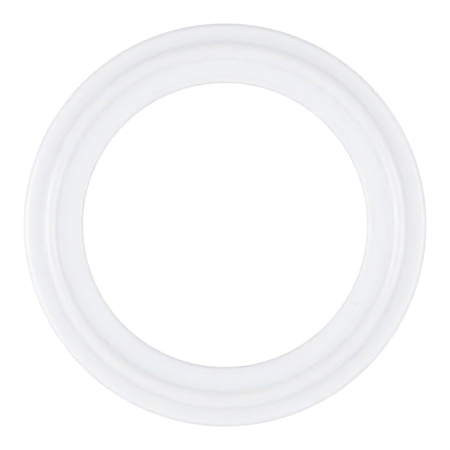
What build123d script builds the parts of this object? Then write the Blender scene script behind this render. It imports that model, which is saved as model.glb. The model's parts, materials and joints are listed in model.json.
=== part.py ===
from build123d import *
import os

# Sanitary clamp gasket for 38 mm (1.5 inch) clamp ferrules.
#
# One ring of silicone rubber, compression moulded in one piece. A flat web lies between the faces
# of two ferrules, and a rounded bead on each side of the web seats in the ferrules' grooves.
# Both sides are alike. The origin is the centre of the ring on its mid-plane, and +Z is the
# pipe's axis.

# Driving dimensions, in millimetres
bore_diameter = 35.6  # flush with the inside of a 38 mm tube with a 1.2 mm wall
bore_to_bead = 4.1  # from the bore to the middle of the beads, on a 43.8 mm circle
bead_to_rim = 3.35  # from there to the rim, flush with the ferrules' 50.5 mm flanges
web_thickness = 2.0
bead_radius = 1.2  # round section of each bead
bead_height = 0.6  # how far each bead stands above its face of the web
foot_radius = 0.45  # hollow blend between a bead and the face beside it
bore_edge_radius = 0.5
rim_edge_radius = 0.6

# Worked-out places
bore_radius = bore_diameter / 2
bead_circle_radius = bore_radius + bore_to_bead
rim_radius = bead_circle_radius + bead_to_rim
face_height = web_thickness / 2
bead_middle = face_height + bead_height - bead_radius

with BuildPart() as gasket:
    with BuildSketch(Plane.XZ) as section:
        with Locations(((bore_radius + rim_radius) / 2, 0)):
            Rectangle(rim_radius - bore_radius, web_thickness)
        with Locations((bead_circle_radius, bead_middle), (bead_circle_radius, -bead_middle)):
            Circle(bead_radius)
        bore_corners, inner_feet, outer_feet, rim_corners = section.vertices().group_by(Axis.X)
        fillet(bore_corners, bore_edge_radius)
        fillet(inner_feet + outer_feet, foot_radius)
        fillet(rim_corners, rim_edge_radius)
    revolve(axis=Axis.Z)
gasket.part.label = "gasket"

os.makedirs("parts", exist_ok=True)
export_step(gasket.part, "parts/gasket.step")
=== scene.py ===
"""Sanitary clamp gasket: the moulded silicone ring's fine shape and finish, its floor, light and camera.

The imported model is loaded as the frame. Geometry Nodes sweep the ring's section round the pipe's
axis, with the split line that the mould leaves on the bore and the rim, and the result stands for
the CAD ring.
"""

import json
import math

import bpy
from bpy.props import FloatProperty, FloatVectorProperty, IntProperty, PointerProperty
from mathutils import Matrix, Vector


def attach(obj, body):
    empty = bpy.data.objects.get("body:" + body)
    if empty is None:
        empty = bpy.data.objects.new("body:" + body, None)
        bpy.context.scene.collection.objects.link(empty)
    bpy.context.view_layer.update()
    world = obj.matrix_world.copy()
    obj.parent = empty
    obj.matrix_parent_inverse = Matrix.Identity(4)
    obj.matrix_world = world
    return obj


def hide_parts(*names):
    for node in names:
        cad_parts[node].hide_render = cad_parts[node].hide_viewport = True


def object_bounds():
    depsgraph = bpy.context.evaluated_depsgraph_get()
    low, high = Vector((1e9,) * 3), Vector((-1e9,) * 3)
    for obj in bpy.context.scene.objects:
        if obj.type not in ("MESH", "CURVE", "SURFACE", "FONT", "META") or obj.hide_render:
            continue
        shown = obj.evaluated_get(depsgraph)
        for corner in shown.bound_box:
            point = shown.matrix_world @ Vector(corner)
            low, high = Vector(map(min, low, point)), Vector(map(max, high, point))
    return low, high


bl_info = {
    "name": "Sanitary clamp gasket",
    "version": (1, 0, 0),
    "blender": (4, 5, 0),
    "location": "View3D > Sidebar > Gasket",
    "description": "Builds a moulded silicone clamp gasket with its studio around the packed model",
    "category": "Object",
}

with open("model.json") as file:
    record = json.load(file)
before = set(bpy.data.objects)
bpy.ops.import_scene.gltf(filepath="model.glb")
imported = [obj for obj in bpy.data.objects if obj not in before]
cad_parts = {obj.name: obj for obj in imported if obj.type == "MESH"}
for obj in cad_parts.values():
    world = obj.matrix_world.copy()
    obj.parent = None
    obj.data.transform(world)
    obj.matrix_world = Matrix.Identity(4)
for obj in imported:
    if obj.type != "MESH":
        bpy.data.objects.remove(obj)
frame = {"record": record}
cad_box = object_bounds()

MM = 0.001
MOUNTS = {mount["name"]: mount for mount in frame["record"]["mounts"]}
BORE_RADIUS = MOUNTS["bore"]["dims"]["r_mm"] * MM
RIM_RADIUS = MOUNTS["rim"]["dims"]["r_mm"] * MM
GROOVE_CIRCLE_RADIUS = MOUNTS["upper_bead"]["dims"]["r_mm"] * MM
FACE_HEIGHT = MOUNTS["upper_face"]["pos_m"][2]
BEAD_HEIGHT = MOUNTS["upper_bead"]["pos_m"][2] - FACE_HEIGHT
BORE_EDGE_RADIUS = FACE_HEIGHT - MOUNTS["bore"]["dims"]["length_mm"] * MM / 2


# Sizes, finish and studio, which a user may change -------------------------------------------


class GasketSizes(bpy.types.PropertyGroup):
    """The ring's sizes. Apart from the split line's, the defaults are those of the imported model."""

    bore_radius: FloatProperty(
        name="Bore radius", description="Inside of the ring", default=BORE_RADIUS, unit="LENGTH")
    groove_circle_radius: FloatProperty(
        name="Groove circle radius", description="Middle of each bead, from the pipe's axis",
        default=GROOVE_CIRCLE_RADIUS, unit="LENGTH")
    rim_radius: FloatProperty(
        name="Rim radius", description="Outside of the ring", default=RIM_RADIUS, unit="LENGTH")
    face_height: FloatProperty(
        name="Face height", description="Each face of the web, from the ring's mid-plane",
        default=FACE_HEIGHT, unit="LENGTH")
    bead_radius: FloatProperty(
        name="Bead radius", description="Radius of each bead's round section",
        default=1.2 * MM, unit="LENGTH")
    bead_height: FloatProperty(
        name="Bead height", description="How far each bead stands above its face",
        default=BEAD_HEIGHT, unit="LENGTH")
    foot_radius: FloatProperty(
        name="Foot radius", description="Hollow blend between a bead and the face beside it",
        default=0.45 * MM, unit="LENGTH")
    bore_edge_radius: FloatProperty(
        name="Bore edge radius", description="Rounding of the bore's edges",
        default=BORE_EDGE_RADIUS, unit="LENGTH")
    rim_edge_radius: FloatProperty(
        name="Rim edge radius", description="Rounding of the rim's edges",
        default=0.6 * MM, unit="LENGTH")
    split_line_height: FloatProperty(
        name="Split line height", description="How far the mould's split line stands proud",
        default=0.03 * MM, unit="LENGTH")
    split_line_width: FloatProperty(
        name="Split line width", description="Width of the mould's split line",
        default=0.14 * MM, unit="LENGTH")
    steps_round: IntProperty(
        name="Steps round", description="Facets round the pipe's axis", default=480, min=24)


class SiliconeFinish(bpy.types.PropertyGroup):
    """The milky silicone rubber, its cloudiness and the skin that it copies from the mould."""

    colour: FloatVectorProperty(
        name="Colour", description="Milky white with a breath of blue",
        default=(0.85, 0.857, 0.879), subtype="COLOR", min=0, max=1)
    # Painted shade: a darker colour for the beads, the web outside them and the bore and rim edges, where
    # the light falls off.
    painted_shade_colour: FloatVectorProperty(
        name="Deeper colour",
        description="Shade of the beads, of the web outside them and of the bore and rim edges",
        default=(0.804, 0.81, 0.832), subtype="COLOR", min=0, max=1)
    speck_colour: FloatVectorProperty(
        name="Speck colour", description="The two dark specks in the upper side",
        default=(0.2, 0.19, 0.17), subtype="COLOR", min=0, max=1)
    cloudiness: FloatProperty(
        name="Cloudiness", description="How much the deeper shade drifts through the rubber",
        default=0.35, subtype="FACTOR", min=0, max=1)
    depth: FloatProperty(
        name="Scattering depth", description="How far light travels inside the rubber",
        default=2.2 * MM, unit="LENGTH")
    roughness: FloatProperty(
        name="Roughness", description="Satin skin left by the mould", default=0.32,
        subtype="FACTOR", min=0, max=1)
    mark_pitch: FloatProperty(
        name="Turning mark pitch", description="Spacing of the rings left by turning the mould",
        default=0.16 * MM, unit="LENGTH")
    mark_depth: FloatProperty(
        name="Turning mark depth", description="Depth of those rings",
        default=0.005 * MM, unit="LENGTH")
    grain_size: FloatProperty(
        name="Grain size", description="Size of the skin's fine grain",
        default=0.09 * MM, unit="LENGTH")
    grain_depth: FloatProperty(
        name="Grain depth", description="Depth of the skin's fine grain",
        default=0.003 * MM, unit="LENGTH")


class Studio(bpy.types.PropertyGroup):
    """Floor, lights and camera."""

    daylight: FloatProperty(
        name="Daylight", description="Strength of the even light from all round", default=0.46)
    left: FloatProperty(
        name="Left light", description="Power of the softbox on the left",
        default=1.2, unit="POWER")
    right: FloatProperty(
        name="Right light", description="Power of the softbox on the right",
        default=1.36, unit="POWER")
    low_left: FloatProperty(
        name="Low left light", description="Power of the softbox low on the left",
        default=0.42, unit="POWER")
    low_front: FloatProperty(
        name="Low front light", description="Power of the softbox low in front",
        default=0.4, unit="POWER")
    camera_height: FloatProperty(
        name="Camera height", description="Lens above the ring's mid-plane", default=1.2,
        unit="LENGTH")
    view_width: FloatProperty(
        name="View width", description="Width that the picture takes in at the mid-plane",
        default=0.0564, unit="LENGTH")


# Node trees ----------------------------------------------------------------------------------

# Noise runs from 0 to 1, and most of its values lie between this low and this high.
NOISE_LOW = 0.3
NOISE_MIDDLE = 0.5
NOISE_HIGH = 0.7


class Tree:
    """Adds nodes to a node tree, and links or sets their inputs by name or by number."""

    def __init__(self, tree):
        self.tree = tree

    def node(self, kind, inputs=None, **settings):
        """Adds a node with these settings and inputs."""
        made = self.tree.nodes.new(kind)
        for name, value in settings.items():
            setattr(made, name, value)
        for name, value in (inputs or {}).items():
            self.feed(made.inputs[name], value)
        return made

    def feed(self, socket, value):
        """Links a node or a socket to this socket, or sets the socket to a plain value."""
        if isinstance(value, bpy.types.Node):
            value = value.outputs[0]
        if isinstance(value, bpy.types.NodeSocket):
            self.tree.links.new(value, socket)
        else:
            socket.default_value = value

    def math(self, operation, *values):
        """The result of a Math node."""
        node = self.node("ShaderNodeMath", operation=operation)
        for socket, value in zip(node.inputs, values):
            self.feed(socket, value)
        return node.outputs[0]

    def point(self, x, y):
        """A point or a shift in the section's plane, where x leads away from the pipe's axis."""
        return self.node("ShaderNodeCombineXYZ", {0: x, 1: y}).outputs[0]

    def noise(self, place, size, detail):
        """Noise from 0 to 1 whose patches are about this size."""
        return self.node("ShaderNodeTexNoise",
                         {"Vector": place, "Scale": 1 / size, "Detail": detail}).outputs[0]

    def spread(self, value, low, high):
        """Stretches the middle of a noise over the range from low to high."""
        return self.node("ShaderNodeMapRange", {
            "Value": value, "From Min": NOISE_LOW, "From Max": NOISE_HIGH,
            "To Min": low, "To Max": high})

    def fade(self, value, start, end, top=1.0):
        """Rises smoothly from 0, where the value is at the start, to the top at the end."""
        return self.node("ShaderNodeMapRange", {
            "Value": value, "From Min": start, "From Max": end, "To Max": top},
            interpolation_type="SMOOTHSTEP")

    def mix(self, share, first, second):
        """A colour mixed from two, each a socket or a plain colour."""
        # A Mix node keeps its colours in inputs 6 and 7 and in output 2.
        node = self.node("ShaderNodeMix", {0: share}, data_type="RGBA")
        for socket, colour in zip((node.inputs[6], node.inputs[7]), (first, second)):
            linked = isinstance(colour, bpy.types.NodeSocket)
            self.feed(socket, colour if linked else (*colour, 1))
        return node.outputs[2]


# The ring ------------------------------------------------------------------------------------

POINTS_ON_A_FACE = 12
POINTS_ON_A_WALL = 5
POINTS_ON_AN_EDGE = 9
POINTS_ON_A_FOOT = 9
POINTS_ON_A_BEAD = 33
POINTS_ON_A_CREST = 2
MERGE_DISTANCE = 0.002 * MM
# The split line's flat crest, as a share of the line's width.
CREST_SHARE = 0.25


def ring_tree():
    """The Geometry Nodes tree that sweeps the ring's section round the pipe's axis."""
    group = bpy.data.node_groups.new("Moulded ring", "GeometryNodeTree")
    group.interface.new_socket("Geometry", in_out="OUTPUT", socket_type="NodeSocketGeometry")
    for name in ("Bore radius", "Groove circle radius", "Rim radius", "Face height", "Bead radius",
                 "Bead height", "Foot radius", "Bore edge radius", "Rim edge radius",
                 "Split line height", "Split line width"):
        group.interface.new_socket(name, in_out="INPUT", socket_type="NodeSocketFloat")
    group.interface.new_socket("Steps round", in_out="INPUT", socket_type="NodeSocketInt")
    group.interface.new_socket("Material", in_out="INPUT", socket_type="NodeSocketMaterial")
    tree = Tree(group)
    size = tree.node("NodeGroupInput").outputs
    face, groove = size["Face height"], size["Groove circle radius"]
    bead, foot = size["Bead radius"], size["Foot radius"]
    bore_edge, rim_edge = size["Bore edge radius"], size["Rim edge radius"]
    proud = size["Split line height"]
    bore_wall = tree.math("ADD", size["Bore radius"], proud)
    rim_wall = tree.math("SUBTRACT", size["Rim radius"], proud)

    # A foot's centre is one foot radius above the face, and its circle touches the bead's.
    reach = tree.math("ADD", bead, foot)
    drop = tree.math("SUBTRACT", reach, size["Bead height"])
    to_foot = tree.math("SQRT", tree.math("SUBTRACT", tree.math("MULTIPLY", reach, reach),
                                          tree.math("MULTIPLY", drop, drop)))
    tilt = tree.math("ARCSINE", tree.math("DIVIDE", drop, reach))
    bead_middle = tree.math("SUBTRACT", tree.math("ADD", face, size["Bead height"]), bead)
    foot_height = tree.math("ADD", face, foot)
    foot_sweep = tree.math("SUBTRACT", math.pi / 2, tilt)
    inner_foot = tree.math("SUBTRACT", groove, to_foot)
    outer_foot = tree.math("ADD", groove, to_foot)
    bore_corner = tree.math("ADD", bore_wall, bore_edge)
    rim_corner = tree.math("SUBTRACT", rim_wall, rim_edge)

    def arc(x, y, radius, start, sweep, points):
        curve = tree.node("GeometryNodeCurveArc", mode="RADIUS")
        for name, value in (("Resolution", points), ("Radius", radius), ("Start Angle", start),
                            ("Sweep Angle", sweep)):
            tree.feed(curve.inputs[name], value)
        return tree.node("GeometryNodeTransform",
                         {"Geometry": curve, "Translation": tree.point(x, y)})

    def straight(start, end, points):
        line = tree.node("GeometryNodeCurvePrimitiveLine", {"Start": start, "End": end})
        return tree.node("GeometryNodeResampleCurve", {"Curve": line, "Count": points})

    half_split = tree.math("DIVIDE", size["Split line width"], 2)
    upper_half = [
        straight(tree.point(bore_wall, half_split),
                 tree.point(bore_wall, tree.math("SUBTRACT", face, bore_edge)), POINTS_ON_A_WALL),
        arc(bore_corner, tree.math("SUBTRACT", face, bore_edge), bore_edge, math.pi, -math.pi / 2,
            POINTS_ON_AN_EDGE),
        straight(tree.point(bore_corner, face), tree.point(inner_foot, face), POINTS_ON_A_FACE),
        arc(inner_foot, foot_height, foot, -math.pi / 2, foot_sweep, POINTS_ON_A_FOOT),
        arc(groove, bead_middle, bead, tilt,
            tree.math("SUBTRACT", math.pi, tree.math("ADD", tilt, tilt)), POINTS_ON_A_BEAD),
        arc(outer_foot, foot_height, foot, -math.pi / 2, tree.math("MULTIPLY", foot_sweep, -1),
            POINTS_ON_A_FOOT),
        straight(tree.point(outer_foot, face), tree.point(rim_corner, face), POINTS_ON_A_FACE),
        arc(rim_corner, tree.math("SUBTRACT", face, rim_edge), rim_edge, math.pi / 2, -math.pi / 2,
            POINTS_ON_AN_EDGE),
        straight(tree.point(rim_wall, tree.math("SUBTRACT", face, rim_edge)),
                 tree.point(rim_wall, half_split), POINTS_ON_A_WALL),
    ]
    crests = [
        straight(tree.point(radius, tree.math("MULTIPLY", half_split, -CREST_SHARE)),
                 tree.point(radius, tree.math("MULTIPLY", half_split, CREST_SHARE)),
                 POINTS_ON_A_CREST)
        for radius in (size["Bore radius"], size["Rim radius"])
    ]

    def join(parts):
        joined = tree.node("GeometryNodeJoinGeometry")
        for part in parts:
            tree.feed(joined.inputs[0], part)
        return joined

    upper = join(upper_half)
    lower = tree.node("GeometryNodeTransform", {"Geometry": upper, "Scale": (1, -1, 1)})
    outline = tree.node("GeometryNodeCurveToPoints", {"Curve": join([upper, lower, *crests])},
                        mode="EVALUATED")

    # Seen from the middle of the web under the bead, the outline never turns back on itself.
    place = tree.node("ShaderNodeSeparateXYZ", {0: tree.node("GeometryNodeInputPosition")})
    round_the_web = tree.math("ARCTAN2", place.outputs["Y"],
                              tree.math("SUBTRACT", place.outputs["X"], groove))
    section = tree.node("GeometryNodePointsToCurves",
                        {"Points": outline.outputs["Points"], "Weight": round_the_web})
    section = tree.node("GeometryNodeSetSplineCyclic", {"Geometry": section, "Cyclic": True})
    centred = tree.node("GeometryNodeTransform", {
        "Geometry": section,
        "Translation": tree.point(tree.math("MULTIPLY", groove, -1), 0.0)})
    way_round = tree.node("GeometryNodeCurvePrimitiveCircle",
                          {"Resolution": size["Steps round"], "Radius": groove}, mode="RADIUS")
    swept = tree.node("GeometryNodeCurveToMesh", {"Curve": way_round, "Profile Curve": centred})
    merged = tree.node("GeometryNodeMergeByDistance",
                       {"Geometry": swept, "Distance": MERGE_DISTANCE})
    smooth = tree.node("GeometryNodeSetShadeSmooth", {"Geometry": merged, "Shade Smooth": True})
    real = tree.node("GeometryNodeRealizeInstances", {"Geometry": smooth})
    painted = tree.node("GeometryNodeSetMaterial",
                        {"Geometry": real, "Material": size["Material"]})
    tree.node("NodeGroupOutput", {"Geometry": painted})
    return group


def plain_mesh_from(group, name, values):
    """Runs a Geometry Nodes tree with these named inputs and returns the result as a plain mesh object."""
    carrier = bpy.data.objects.new(name, bpy.data.meshes.new(name + "_start"))
    bpy.context.scene.collection.objects.link(carrier)
    modifier = carrier.modifiers.new("Build", "NODES")
    modifier.node_group = group
    sockets = {item.name: item.identifier for item in group.interface.items_tree
               if item.in_out == "INPUT"}
    for socket_name, value in values.items():
        modifier[sockets[socket_name]] = value
    depsgraph = bpy.context.evaluated_depsgraph_get()
    mesh = bpy.data.meshes.new_from_object(carrier.evaluated_get(depsgraph), depsgraph=depsgraph)
    carrier.modifiers.remove(modifier)
    mesh.name = name
    carrier.data = mesh
    return carrier


class GASKET_OT_ring(bpy.types.Operator):
    """Moulds the silicone ring and puts it in the CAD ring's place"""

    bl_idname = "gasket.ring"
    bl_label = "Moulded Ring"

    def execute(self, context):
        sizes = context.scene.gasket_sizes
        ring = plain_mesh_from(ring_tree(), "silicone_ring", {
            "Bore radius": sizes.bore_radius,
            "Groove circle radius": sizes.groove_circle_radius,
            "Rim radius": sizes.rim_radius,
            "Face height": sizes.face_height,
            "Bead radius": sizes.bead_radius,
            "Bead height": sizes.bead_height,
            "Foot radius": sizes.foot_radius,
            "Bore edge radius": sizes.bore_edge_radius,
            "Rim edge radius": sizes.rim_edge_radius,
            "Split line height": sizes.split_line_height,
            "Split line width": sizes.split_line_width,
            "Steps round": sizes.steps_round,
            "Material": silicone(context.scene.silicone_finish, sizes),
        })
        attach(ring, "root")
        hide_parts("gasket")
        return {"FINISHED"}


# Silicone ------------------------------------------------------------------------------------

# Dark specks in the upper side: place, radius and how much of the speck colour each takes.
SPECKS = (
    ((16.5 * MM, -9.9 * MM), 0.22 * MM, 0.18),
    ((-20.6 * MM, 9.5 * MM), 0.26 * MM, 0.09),
)
SPECK_CORE_SHARE = 1 / 3
CLOUD_SIZE = 6 * MM
CLOUD_DETAIL = 3

# Where the painted shade sets in, and how much of it the web outside the bead takes.
BORE_SHADE_WIDTH = 1.8 * MM
RIM_SHADE_WIDTH = 1.4 * MM
BEAD_HALF_WIDTH = 1.3 * MM
OUTSIDE_SHADE = 0.6

SHEEN_PATCH_SIZE = 2 * MM
SHEEN_DETAIL = 2
ROUGHNESS_SPREAD = 0.03
SKIN_DETAIL = 2

SILICONE_IOR = 1.41
# How far red, green and blue light travel in the rubber, as shares of the scattering depth.
SCATTERING_SHARES = (1.0, 0.85, 0.7)


def silicone(finish, sizes):
    """Milky silicone rubber with a satin skin copied from a turned mould."""
    material = bpy.data.materials.new("Milky silicone")
    material.use_nodes = True
    material.node_tree.nodes.clear()
    tree = Tree(material.node_tree)
    place = tree.node("ShaderNodeTexCoord").outputs["Object"]
    height = tree.node("ShaderNodeSeparateXYZ", {0: place}).outputs["Z"]
    flat = tree.node("ShaderNodeVectorMath", {0: place, 1: (1, 1, 0)}, operation="MULTIPLY")
    from_axis = tree.node("ShaderNodeVectorMath", {0: flat}, operation="LENGTH").outputs["Value"]
    colour = rubber_colour(tree, finish, sizes, place, height, flat, from_axis)
    patches = tree.noise(place, SHEEN_PATCH_SIZE, SHEEN_DETAIL)
    roughness = tree.spread(patches, finish.roughness - ROUGHNESS_SPREAD,
                            finish.roughness + ROUGHNESS_SPREAD)
    rubber = tree.node("ShaderNodeBsdfPrincipled", {
        "Base Color": colour,
        "Roughness": roughness,
        "IOR": SILICONE_IOR,
        "Normal": mould_skin(tree, finish, place, from_axis),
        "Subsurface Weight": 1.0,
        "Subsurface Radius": SCATTERING_SHARES,
        "Subsurface Scale": finish.depth,
    })
    tree.node("ShaderNodeOutputMaterial", {"Surface": rubber})
    return material


def rubber_colour(tree, finish, sizes, place, height, flat, from_axis):
    """Milky white with clouds and specks, and painted shade in and outside the beads and at both edges."""
    groove, bore, rim = sizes.groove_circle_radius, sizes.bore_radius, sizes.rim_radius
    # Painted shade: darker where the beads stand up, on the web outside them and at the bore and rim
    # edges.
    painted_bead_shade = tree.fade(tree.math("ABSOLUTE", height), sizes.face_height,
                        sizes.face_height + sizes.bead_height)
    outside = tree.fade(from_axis, groove, groove + BEAD_HALF_WIDTH, OUTSIDE_SHADE)
    painted_bore_shade = tree.fade(from_axis, bore + BORE_SHADE_WIDTH, bore)
    painted_rim_shade = tree.fade(from_axis, rim - RIM_SHADE_WIDTH, rim)
    shade = tree.math("MAXIMUM", tree.math("MAXIMUM", painted_bead_shade, outside),
                      tree.math("MAXIMUM", painted_bore_shade, painted_rim_shade))
    clouds = tree.math("SUBTRACT", tree.noise(place, CLOUD_SIZE, CLOUD_DETAIL), NOISE_MIDDLE)
    # The painted shade, with the clouds' random drift in tone added on top.
    shade_and_clouds = tree.math("ADD", shade, tree.math("MULTIPLY", clouds, finish.cloudiness))
    milky = tree.mix(shade_and_clouds, finish.colour, finish.painted_shade_colour)
    on_top = tree.math("GREATER_THAN", height, 0.0)
    for (x, y), radius, darkness in SPECKS:
        away = tree.node("ShaderNodeVectorMath", {0: flat, 1: (x, y, 0)}, operation="DISTANCE")
        speck = tree.fade(away.outputs["Value"], radius, radius * SPECK_CORE_SHARE, darkness)
        milky = tree.mix(tree.math("MULTIPLY", speck, on_top), milky, finish.speck_colour)
    return milky


def mould_skin(tree, finish, place, from_axis):
    """The fine rings and the grain that the skin copies from the mould, as a normal."""
    rings = tree.node("ShaderNodeTexNoise", {
        "W": tree.math("DIVIDE", from_axis, finish.mark_pitch),
        "Scale": 1.0, "Detail": SKIN_DETAIL}, noise_dimensions="1D")
    relief = tree.math("ADD", tree.math("MULTIPLY", rings, finish.mark_depth),
                       tree.math("MULTIPLY", tree.noise(place, finish.grain_size, SKIN_DETAIL),
                                 finish.grain_depth))
    return tree.node("ShaderNodeBump", {"Height": relief, "Distance": 1.0, "Strength": 1.0})


# Studio --------------------------------------------------------------------------------------

WHITE = (1, 1, 1, 1)
FLOOR_PAINT = (0.8, 0.8, 0.8, 1)
FLOOR_HALF_WIDTH = 2.0
# Share of the floor's look that is its glow. The rest is paint, which shows the faint shadow.
WHITE_SHARE = 0.93
WHITE_STRENGTH = 1.05

# Softboxes: directions in degrees round from +X, elevations in degrees, then metres.
RIGHT = 0
LEFT = 180
FRONT = 270
HIGH = 50
LOW = 10
SOFTBOX_DISTANCE = 0.6
SMALL_SOFTBOX = 0.2
LARGE_SOFTBOX = 0.3

SENSOR_WIDTH_MM = 36
NEAREST_SEEN = 0.01


def seen_directly(tree):
    """1 where the camera, a reflection or something clear looks straight at the surface."""
    path = tree.node("ShaderNodeLightPath").outputs
    return tree.math("MAXIMUM", path["Is Camera Ray"],
                     tree.math("MAXIMUM", path["Is Glossy Ray"], path["Is Transmission Ray"]))


def white_floor():
    """White to look at, with a faint shadow under the ring, and pale grey to the light."""
    material = bpy.data.materials.new("Studio floor")
    material.use_nodes = True
    material.node_tree.nodes.clear()
    tree = Tree(material.node_tree)
    paint = tree.node("ShaderNodeBsdfDiffuse", {"Color": FLOOR_PAINT})
    glow = tree.node("ShaderNodeEmission", {"Color": WHITE, "Strength": WHITE_STRENGTH})
    mixed = tree.node("ShaderNodeMixShader", {
        0: tree.math("MULTIPLY", seen_directly(tree), WHITE_SHARE), 1: paint, 2: glow})
    tree.node("ShaderNodeOutputMaterial", {"Surface": mixed})
    return material


def white_surroundings(strength):
    """Even light from all round, which the camera and reflections see as white."""
    world = bpy.data.worlds.new("Studio")
    world.use_nodes = True
    world.node_tree.nodes.clear()
    tree = Tree(world.node_tree)
    light = tree.node("ShaderNodeBackground", {"Color": WHITE, "Strength": strength})
    shown = tree.node("ShaderNodeBackground", {"Color": WHITE, "Strength": 1.0})
    mixed = tree.node("ShaderNodeMixShader", {0: seen_directly(tree), 1: light, 2: shown})
    tree.node("ShaderNodeOutputWorld", {"Surface": mixed})
    bpy.context.scene.world = world


def softbox(name, azimuth, elevation, width, power):
    """A square area light that faces the ring, from this many degrees round from +X and up."""
    lamp = bpy.data.lights.new(name, "AREA")
    lamp.shape = "SQUARE"
    lamp.size = width
    lamp.energy = power
    lamp_object = bpy.data.objects.new(name, lamp)
    bpy.context.scene.collection.objects.link(lamp_object)
    round_axis, up = math.radians(azimuth), math.radians(elevation)
    direction = Vector((math.cos(up) * math.cos(round_axis), math.cos(up) * math.sin(round_axis),
                        math.sin(up)))
    lamp_object.location = direction * SOFTBOX_DISTANCE
    lamp_object.rotation_euler = (-direction).to_track_quat("-Z", "Y").to_euler()


def lay_floor():
    """A wide square on which the ring rests."""
    low, half = cad_box[0][2], FLOOR_HALF_WIDTH
    mesh = bpy.data.meshes.new("studio_floor")
    mesh.from_pydata([(-half, -half, low), (half, -half, low), (half, half, low), (-half, half, low)],
                     [], [(0, 1, 2, 3)])
    mesh.materials.append(white_floor())
    floor = bpy.data.objects.new("studio_floor", mesh)
    bpy.context.scene.collection.objects.link(floor)


def look_straight_down(height, view_width):
    """A camera on the pipe's axis that takes in this width at the ring's mid-plane."""
    camera = bpy.data.cameras.new("Camera")
    camera.sensor_width = SENSOR_WIDTH_MM
    camera.lens = camera.sensor_width * height / view_width
    camera.clip_start = NEAREST_SEEN
    camera_object = bpy.data.objects.new("Camera", camera)
    bpy.context.scene.collection.objects.link(camera_object)
    camera_object.location = (0, 0, height)
    bpy.context.scene.camera = camera_object


class GASKET_OT_studio(bpy.types.Operator):
    """Lays the floor and sets up the lights and the camera"""

    bl_idname = "gasket.studio"
    bl_label = "Studio"

    def execute(self, context):
        studio = context.scene.studio
        lay_floor()
        white_surroundings(studio.daylight)
        softbox("Left softbox", LEFT, HIGH, SMALL_SOFTBOX, studio.left)
        softbox("Right softbox", RIGHT, HIGH, LARGE_SOFTBOX, studio.right)
        softbox("Low left softbox", LEFT, LOW, LARGE_SOFTBOX, studio.low_left)
        softbox("Low front softbox", FRONT, LOW, LARGE_SOFTBOX, studio.low_front)
        look_straight_down(studio.camera_height, studio.view_width)
        context.scene.view_settings.view_transform = "Standard"
        return {"FINISHED"}


class GASKET_PT_panel(bpy.types.Panel):
    """Lists the gasket's sizes, finish and studio, with a button for the ring and the studio"""

    bl_label = "Sanitary Clamp Gasket"
    bl_space_type = "VIEW_3D"
    bl_region_type = "UI"
    bl_category = "Gasket"

    def draw(self, context):
        layout = self.layout
        for group in (context.scene.gasket_sizes, context.scene.silicone_finish,
                      context.scene.studio):
            box = layout.box()
            for name in group.__annotations__:
                box.prop(group, name)
        layout.operator(GASKET_OT_ring.bl_idname)
        layout.operator(GASKET_OT_studio.bl_idname)


CLASSES = (GasketSizes, SiliconeFinish, Studio, GASKET_OT_ring, GASKET_OT_studio, GASKET_PT_panel)


def register():
    for cls in CLASSES:
        bpy.utils.register_class(cls)
    bpy.types.Scene.gasket_sizes = PointerProperty(type=GasketSizes)
    bpy.types.Scene.silicone_finish = PointerProperty(type=SiliconeFinish)
    bpy.types.Scene.studio = PointerProperty(type=Studio)


def unregister():
    del bpy.types.Scene.studio
    del bpy.types.Scene.silicone_finish
    del bpy.types.Scene.gasket_sizes
    for cls in reversed(CLASSES):
        bpy.utils.unregister_class(cls)


def main():
    register()
    bpy.ops.gasket.ring()
    bpy.ops.gasket.studio()


if __name__ == "__main__":
    main()
